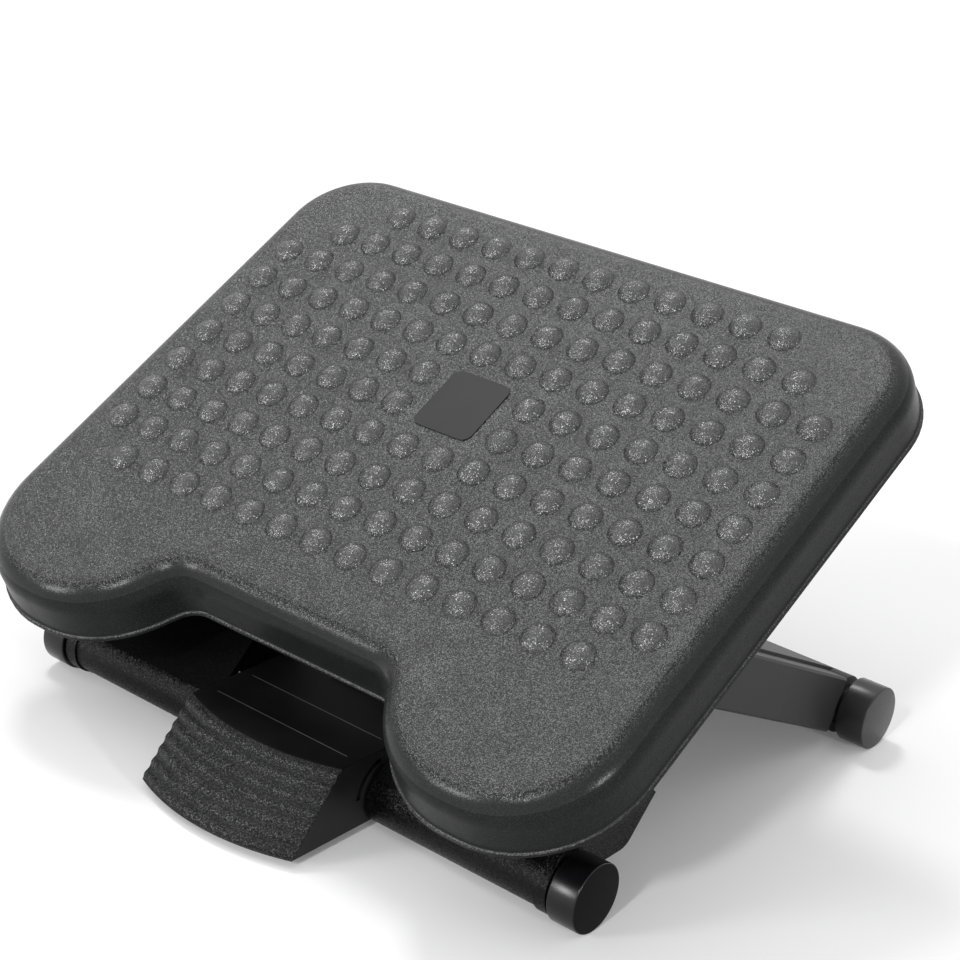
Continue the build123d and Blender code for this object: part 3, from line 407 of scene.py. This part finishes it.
def platform_plan(inset):
    """The platform's plan drawn in by an inset: lobes, front recess and rounded corners."""
    half, front, rear = PLATFORM_WIDTH / 2 - inset, inset, PLATFORM_DEPTH - inset
    lean = math.tan(math.atan2(RECESS_DEPTH, RECESS_HALF_MOUTH - RECESS_HALF_BACK) / 2)
    mouth, back = RECESS_HALF_MOUTH + inset * lean, RECESS_HALF_BACK + inset * lean
    right = [(back, RECESS_DEPTH + inset), (mouth, front), (half, front), (half, rear)]
    left = [(-x, y) for x, y in reversed(right)]
    radii = [CORNERS["recess"] + inset]
    radii.extend(CORNERS[corner] - inset for corner in ("lobe", "front", "rear"))
    return rounded(left + right, radii[::-1] + radii)


def stacked(profile):
    """Vertices and quads of plan rings stacked along a profile of (inset, height)."""
    verts, faces = [], []
    for inset, height in profile:
        verts.extend((p.x, p.y, height) for p in platform_plan(inset))
    count = len(verts) // len(profile)
    for level in range(len(profile) - 1):
        for k in range(count):
            a, b = level * count + k, level * count + (k + 1) % count
            faces.append((a, b, b + count, a + count))
    return verts, faces, count


def roll_profile():
    """The outer wall: thin standing-out lip, near-upright wall and a broad rolled top edge."""
    wall = list(LIP_AND_WALL)
    start = SHELL_HEIGHT - ROLL
    steps = 14
    for k in range(steps + 1):
        angle = math.pi / 2 * k / steps
        wall.append((LIP_BEAD + ROLL * (1 - math.cos(angle)), start + ROLL * math.sin(angle)))
    return wall


def platform_shell():
    """The moulding's outside: lip, wall, roll and flat top; and its inside down to the rim."""
    verts, faces, count = stacked(INNER_WALL + roll_profile())
    faces.append(tuple(range(count)))
    last = len(verts) - count
    faces.append(tuple(range(last, last + count)))
    shell = make("platform_moulding", verts, faces, PLATFORM, "platform", PLATFORM_MAT)
    for finish in PLATFORM_BANDS[1:]:
        shell.data.materials.append(finish)
    for polygon in shell.data.polygons:
        facing = polygon.normal.dot(Vector(PLATFORM_NORMAL))
        polygon.material_index = sum(facing < limit for limit in BAND_LIMITS)
    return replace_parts(shell, "platform_shell")


def under_ribs():
    """The stiffening ribs under the platform's top."""
    verts, faces = [], []
    low, high = CEILING - RIB_DEPTH, CEILING + RIB_ROOT
    rows = int(PLATFORM_DEPTH / RIB_SPACING)
    bars = []
    for row in range(1, rows):
        along = RECESS_DEPTH + row * (PLATFORM_DEPTH - RECESS_DEPTH) / rows
        bars.append((-RIB_HALF, RIB_HALF, along - RIB_WIDTH / 2, along + RIB_WIDTH / 2))
    for column in range(-2, 3):
        across = column * RIB_SPACING
        bars.append((across - RIB_WIDTH / 2, across + RIB_WIDTH / 2,
                     RECESS_DEPTH + RIB_MARGIN, PLATFORM_DEPTH - RIB_MARGIN))
    for x0, x1, y0, y1 in bars:
        at = len(verts)
        for inset, height in ((RIB_DRAFT, low), (0, high)):
            verts.extend([(x0 + inset, y0 + inset, height), (x1 - inset, y0 + inset, height),
                          (x1 - inset, y1 - inset, height), (x0 + inset, y1 - inset, height)])
        for quad in ((0, 1, 2, 3), (0, 1, 5, 4), (1, 2, 6, 5), (2, 3, 7, 6), (3, 0, 4, 7)):
            faces.append(tuple(at + i for i in quad))
    return make("platform_under_ribs", verts, faces, PLATFORM, "platform", UNDER_MAT,
                smooth=False)


def bump_centres():
    """The bumps' places in the platform's plan, leaving out those under the badge."""
    for row, count in enumerate(BUMPS_PER_ROW):
        along = PLATFORM_DEPTH - BUMP_REAR_MARGIN - row * BUMP_ALONG
        for column in range(count):
            across = (column - (count - 1) / 2) * BUMP_ACROSS
            if not (abs(across) < BADGE_HALF and abs(row - BADGE_ROW) < 1):
                yield across, along


def massage_bumps():
    """Smooth domes in rows on the platform's top."""
    sides, rings = 36, 10
    sphere = (BUMP_RADIUS ** 2 + BUMP_HEIGHT ** 2) / (2 * BUMP_HEIGHT)
    edge = math.asin(BUMP_RADIUS / sphere)
    verts, faces = [], []
    for across, along in bump_centres():
        at = len(verts)
        verts.append((across, along, SHELL_HEIGHT + BUMP_HEIGHT))
        for ring in range(1, rings + 1):
            angle = edge * ring / rings
            radius = sphere * math.sin(angle)
            height = SHELL_HEIGHT + BUMP_HEIGHT - sphere * (1 - math.cos(angle))
            if ring == rings:
                height -= BUMP_ROOT
            for k in range(sides):
                turn = 2 * math.pi * k / sides
                verts.append((across + radius * math.cos(turn), along + radius * math.sin(turn), height))
        for k in range(sides):
            after = (k + 1) % sides
            faces.append((at, at + 1 + k, at + 1 + after))
            for ring in range(rings - 1):
                a, b = at + 1 + ring * sides + k, at + 1 + ring * sides + after
                faces.append((a, a + sides, b + sides, b))
    return make("massage_bumps", verts, faces, PLATFORM, "platform", BUMP_MAT)


# Turned pieces

def turned(name, profile, side, centre_y, body, material, nodes, sides=96):
    """A round piece along X from a profile of (x, radius), mirrored by side, standing for CAD nodes."""
    verts, faces = [], []
    for x, radius in profile:
        for k in range(sides):
            angle = 2 * math.pi * k / sides
            verts.append((side * x, centre_y + radius * math.cos(angle), AXLE_Z + radius * math.sin(angle)))
    for level in range(len(profile) - 1):
        for k in range(sides):
            a, b = level * sides + k, level * sides + (k + 1) % sides
            faces.append((a, b, b + sides, a + sides))
    for level in (0, len(profile) - 1):
        if profile[level][1] > 0:
            faces.append(tuple(level * sides + k for k in range(sides)))
    piece = make(name, verts, faces, FROM_AXLE, body, material)
    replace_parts(piece, *nodes)
    return piece


def foot_profile(neck_start, outer):
    """A foot's outline: neck, inner face, rim and outer face with fine rounded edges."""
    bevel = FOOT_BEVEL
    rim = [(FOOT_INNER, NECK_RADIUS), (FOOT_INNER, FOOT_RADIUS - bevel)]
    for corner, spin in ((FOOT_INNER + bevel, 1), (outer - bevel, 0)):
        for k in range(5):
            angle = math.pi / 2 * k / 4
            reach = math.sin(angle) if spin == 0 else -math.cos(angle)
            rise = math.cos(angle) if spin == 0 else math.sin(angle)
            rim.append((corner + bevel * reach, FOOT_RADIUS - bevel + bevel * rise))
    return [(neck_start, NECK_RADIUS), *rim]


def round_pieces():
    """Feet, front rolls and the rear tube, with full-round rims."""
    for side, word in ((1, "right"), (-1, "left")):
        front = foot_profile(FRONT_NECK_START, FRONT_FOOT_OUTER)
        cap = turned(f"front_foot_cap_{word}", front, side, 0, "front_feet", FOOT_MAT,
                     [f"front_foot_{word}"])
        cap.data.materials.append(FOOT_FACE_MAT)
        for polygon in cap.data.polygons:
            polygon.material_index = 1 if side * polygon.normal.x > 0.9 else 0
        rear = foot_profile(REAR_NECK_START, REAR_FOOT_OUTER)
        turned(f"rear_foot_cap_{word}", rear, side, FOOT_SPAN, "rear_leg", REAR_FOOT_MAT,
               [f"rear_foot_{word}"])
        ease, radius = ROLL_EASE, ROLL_SKIN_RADIUS
        roll = [(ROLL_START, AXLE_RADIUS), (ROLL_START, radius - ease),
                (ROLL_START + ease * 0.3, radius - ease * 0.3), (ROLL_START + ease, radius),
                (ROLL_END, radius), (ROLL_END, AXLE_RADIUS)]
        turned(f"front_roll_skin_{word}", roll, side, 0, "front_leg", LEG_MAT,
               [f"front_roll_{word}"])
    ease, radius = TUBE_EASE, TUBE_RADIUS
    tube = [(-TUBE_END, NECK_RADIUS), (-TUBE_END, radius - ease), (-TUBE_END + ease, radius),
            (TUBE_END - ease, radius), (TUBE_END, radius - ease), (TUBE_END, NECK_RADIUS)]
    turned("rear_tube_skin", tube, 1, FOOT_SPAN, "rear_leg", REAR_MAT, ["rear_tube"])


# Front leg panel

def notch_edges():
    """The panel's turned-down edge at each side of the pedal's notch."""
    count = len(NOTCH_OUTLINE)
    for side, word in ((1, "right"), (-1, "left")):
        verts = [(side * x, *spot) for x in (NOTCH_HALF, NOTCH_HALF + NOTCH_EDGE) for spot in NOTCH_OUTLINE]
        faces = [tuple(range(count)), tuple(range(count, 2 * count))]
        faces.extend((k, (k + 1) % count, (k + 1) % count + count, k + count) for k in range(count))
        # The notch edges take the panel's painted-shade finish.
        wall = make(f"panel_notch_edge_{word}", verts, faces, ALONG_LEG, "front_leg",
                    SHADED_PANEL_MAT, smooth=False)
        soften_edges(wall, NOTCH_BEVEL)


def soften_edges(piece, width_mm):
    """A small bevel, so that the edges of a flat piece catch light."""
    soften = piece.modifiers.new("edge", "BEVEL")
    soften.width = width_mm * MM
    soften.segments = 2
    soften.limit_method = "ANGLE"
    soften.angle_limit = math.radians(BEVEL_ANGLE)


# Pedal

def bow(x):
    """How far the pedal's bowed front falls back at a place across it."""
    return PEDAL_BOW - math.sqrt(PEDAL_BOW ** 2 - x ** 2)


def pedal_tread():
    """The ribbed tread skin: soft waves across the bowed front, over the CAD's ribs."""
    lean = (PEDAL_NOSE - PEDAL_BROW) / (PEDAL_TOP - PEDAL_BOTTOM)
    up = Vector((0, lean, 1)).normalized()
    out = Vector((0, -up.z, up.y))
    columns, rows = 64, 168
    verts, faces = [], []
    for depth in (1, 0):
        for i in range(rows + 1):
            share = i / rows
            height = PEDAL_BOTTOM + share * (PEDAL_TOP - PEDAL_BOTTOM)
            wave = 0.5 - 0.5 * math.cos(2 * math.pi * TREAD_RIBS * share)
            for k in range(columns + 1):
                x = PEDAL_HALF * (2 * k / columns - 1)
                spot = Vector((x, -PEDAL_NOSE + bow(x) + lean * (height - PEDAL_BOTTOM), height))
                settle = min(1.0, (height - PEDAL_BOTTOM) / TREAD_SETTLE)
                skin = settle * (TREAD_LIFT + RIB_RISE * wave) - TREAD_SINK
                raise_by = skin * depth - TREAD_BACK * (1 - depth)
                verts.append(spot + out * raise_by)
    stride = columns + 1
    size = stride * (rows + 1)
    for i in range(rows):
        for k in range(columns):
            a = i * stride + k
            faces.append((a, a + 1, a + 1 + stride, a + stride))
    border = [k for k in range(stride)] + [(i + 1) * stride - 1 for i in range(1, rows + 1)]
    border += [rows * stride + k for k in range(columns - 1, -1, -1)]
    border += [i * stride for i in range(rows - 1, 0, -1)]
    for here, after in zip(border, border[1:] + border[:1]):
        faces.append((here, after, after + size, here + size))
    return make("pedal_tread_skin", verts, faces, FROM_AXLE, "pedal", TREAD_MAT)


def label_plan(inset, rear):
    """The label's outline on the pedal's flat top."""
    half = PEDAL_HALF - inset
    steps = 40
    front = []
    for k in range(steps + 1):
        x = half * (2 * k / steps - 1)
        front.append((x, -PEDAL_BROW + bow(x) + inset))
    return [*front, (half, rear), (-half, rear)]


def pedal_label():
    """The bare satin label sheet over the pedal's flat top, with two plain rules."""
    low, high = PEDAL_TOP + LABEL_GAP, PEDAL_TOP + LABEL_THICKNESS
    levels = [(LABEL_INSET, low), (LABEL_INSET, high - LABEL_EASE), (LABEL_INSET + LABEL_EASE, high)]
    verts, faces = [], []
    for inset, height in levels:
        verts.extend((x, y, height) for x, y in label_plan(inset, PEDAL_REAR - inset))
    count = len(verts) // len(levels)
    for level in range(len(levels) - 1):
        for k in range(count):
            a, b = level * count + k, level * count + (k + 1) % count
            faces.append((a, b, b + count, a + count))
    faces.append(tuple(range(2 * count, 3 * count)))
    label = make("pedal_label_sheet", verts, faces, FROM_AXLE, "pedal", LABEL_MAT)
    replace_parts(label, "pedal_label_plate")
    verts, faces = [], []
    height = high + RULE_LIFT
    for along in RULE_PLACES:
        at = len(verts)
        verts.extend([(-RULE_HALF, along, height), (RULE_HALF, along, height),
                      (RULE_HALF, along + RULE_WIDTH, height), (-RULE_HALF, along + RULE_WIDTH, height)])
        faces.append((at, at + 1, at + 2, at + 3))
    make("pedal_label_rules", verts, faces, FROM_AXLE, "pedal", RULE_MAT,
         smooth=False)


platform_shell()
under_ribs()
massage_bumps()
round_pieces()
notch_edges()
pedal_tread()
pedal_label()


for flat_node in ("rear_arm_left", "rear_arm_right", "rear_web_panel", "badge_plate"):
    soften_edges(NODES[flat_node], FLAT_BEVEL)


# Studio

def seen_directly(nodes, links):
    """One for rays from the camera, from gloss or through glass, and nought for the light that falls."""
    ray = nodes.new("ShaderNodeLightPath")
    shown = ray.outputs["Is Camera Ray"]
    for kind in ("Is Glossy Ray", "Is Transmission Ray"):
        either = nodes.new("ShaderNodeMath")
        either.operation = "MAXIMUM"
        links.new(shown, either.inputs[0])
        links.new(ray.outputs[kind], either.inputs[1])
        shown = either.outputs["Value"]
    return shown


def floor():
    """A wide floor, white with soft shadows where it is seen, that throws little light back up."""
    mat = bpy.data.materials.new("studio_floor")
    mat.use_nodes = True
    nodes, links = mat.node_tree.nodes, mat.node_tree.links
    nodes.remove(nodes["Principled BSDF"])
    dull = nodes.new("ShaderNodeBsdfDiffuse")
    dull.inputs["Color"].default_value = (FLOOR_DULL, FLOOR_DULL, FLOOR_DULL, 1)
    white = nodes.new("ShaderNodeBsdfDiffuse")
    white.inputs["Color"].default_value = (FLOOR_WHITE, FLOOR_WHITE, FLOOR_WHITE, 1)
    pick = nodes.new("ShaderNodeMixShader")
    glow = nodes.new("ShaderNodeEmission")
    glow.inputs["Strength"].default_value = 1.0
    paler = nodes.new("ShaderNodeMixShader")
    paler.inputs["Fac"].default_value = FLOOR_GLOW
    links.new(white.outputs["BSDF"], paler.inputs[1])
    links.new(glow.outputs["Emission"], paler.inputs[2])
    links.new(seen_directly(nodes, links), pick.inputs["Fac"])
    links.new(dull.outputs["BSDF"], pick.inputs[1])
    links.new(paler.outputs["Shader"], pick.inputs[2])
    links.new(pick.outputs["Shader"], nodes["Material Output"].inputs["Surface"])
    mesh = bpy.data.meshes.new("studio_floor")
    far = FLOOR_REACH
    mesh.from_pydata([(-far, -far, 0), (far, -far, 0), (far, far, 0), (-far, far, 0)], [], [(0, 1, 2, 3)])
    mesh.materials.append(mat)
    ground = bpy.data.objects.new("studio_floor", mesh)
    bpy.context.scene.collection.objects.link(ground)


def far_lamp(name, toward, spread, strength):
    """A far soft source, seen in a direction over an angle in degrees."""
    lamp = bpy.data.lights.new(name, "SUN")
    lamp.energy = strength
    lamp.angle = math.radians(spread)
    holder = bpy.data.objects.new(name, lamp)
    holder.rotation_euler = Vector(toward).to_track_quat("Z", "Y").to_euler()
    bpy.context.scene.collection.objects.link(holder)


def studio():
    """White surroundings, a broad source above and smaller ones around."""
    world = bpy.data.worlds.new("studio")
    bpy.context.scene.world = world
    world.use_nodes = True
    nodes, links = world.node_tree.nodes, world.node_tree.links
    surround = nodes["Background"]
    surround.inputs["Color"].default_value = (1, 1, 1, 1)
    level = nodes.new("ShaderNodeMapRange")
    level.inputs["To Min"].default_value = SURROUND_LEVEL
    links.new(seen_directly(nodes, links), level.inputs["Value"])
    links.new(level.outputs["Result"], surround.inputs["Strength"])
    for name, (toward, spread, strength) in LAMPS.items():
        far_lamp(name, toward, spread, strength)


def camera():
    """The camera at the photograph's viewpoint."""
    azimuth, elevation = math.radians(CAMERA_AZIMUTH), math.radians(CAMERA_ELEVATION)
    tilt = math.radians(CAMERA_ROLL)
    level = math.cos(elevation)
    back = Vector((math.sin(azimuth) * level, -math.cos(azimuth) * level, math.sin(elevation)))
    right = (-back).cross(Vector((0, 0, 1))).normalized()
    up = right.cross(-back)
    across = right * math.cos(tilt) + up * math.sin(tilt)
    upward = up * math.cos(tilt) - right * math.sin(tilt)
    eye = Vector((CAMERA_EYE[0], CAMERA_EYE[1] + AXLE_Y, CAMERA_EYE[2])) * MM
    lens = bpy.data.cameras.new("camera")
    lens.sensor_width = SENSOR_MM
    lens.lens = SENSOR_MM * FOCAL_PIXELS / FRAME_PIXELS
    lens.clip_start = 0.05
    holder = bpy.data.objects.new("camera", lens)
    turn = Matrix((across, upward, back)).transposed()
    holder.matrix_world = Matrix.Translation(eye) @ turn.to_4x4()
    bpy.context.scene.collection.objects.link(holder)
    bpy.context.scene.camera = holder


floor()
studio()
camera()
bpy.context.scene.view_settings.view_transform = "Standard"

bpy.context.view_layer.update()
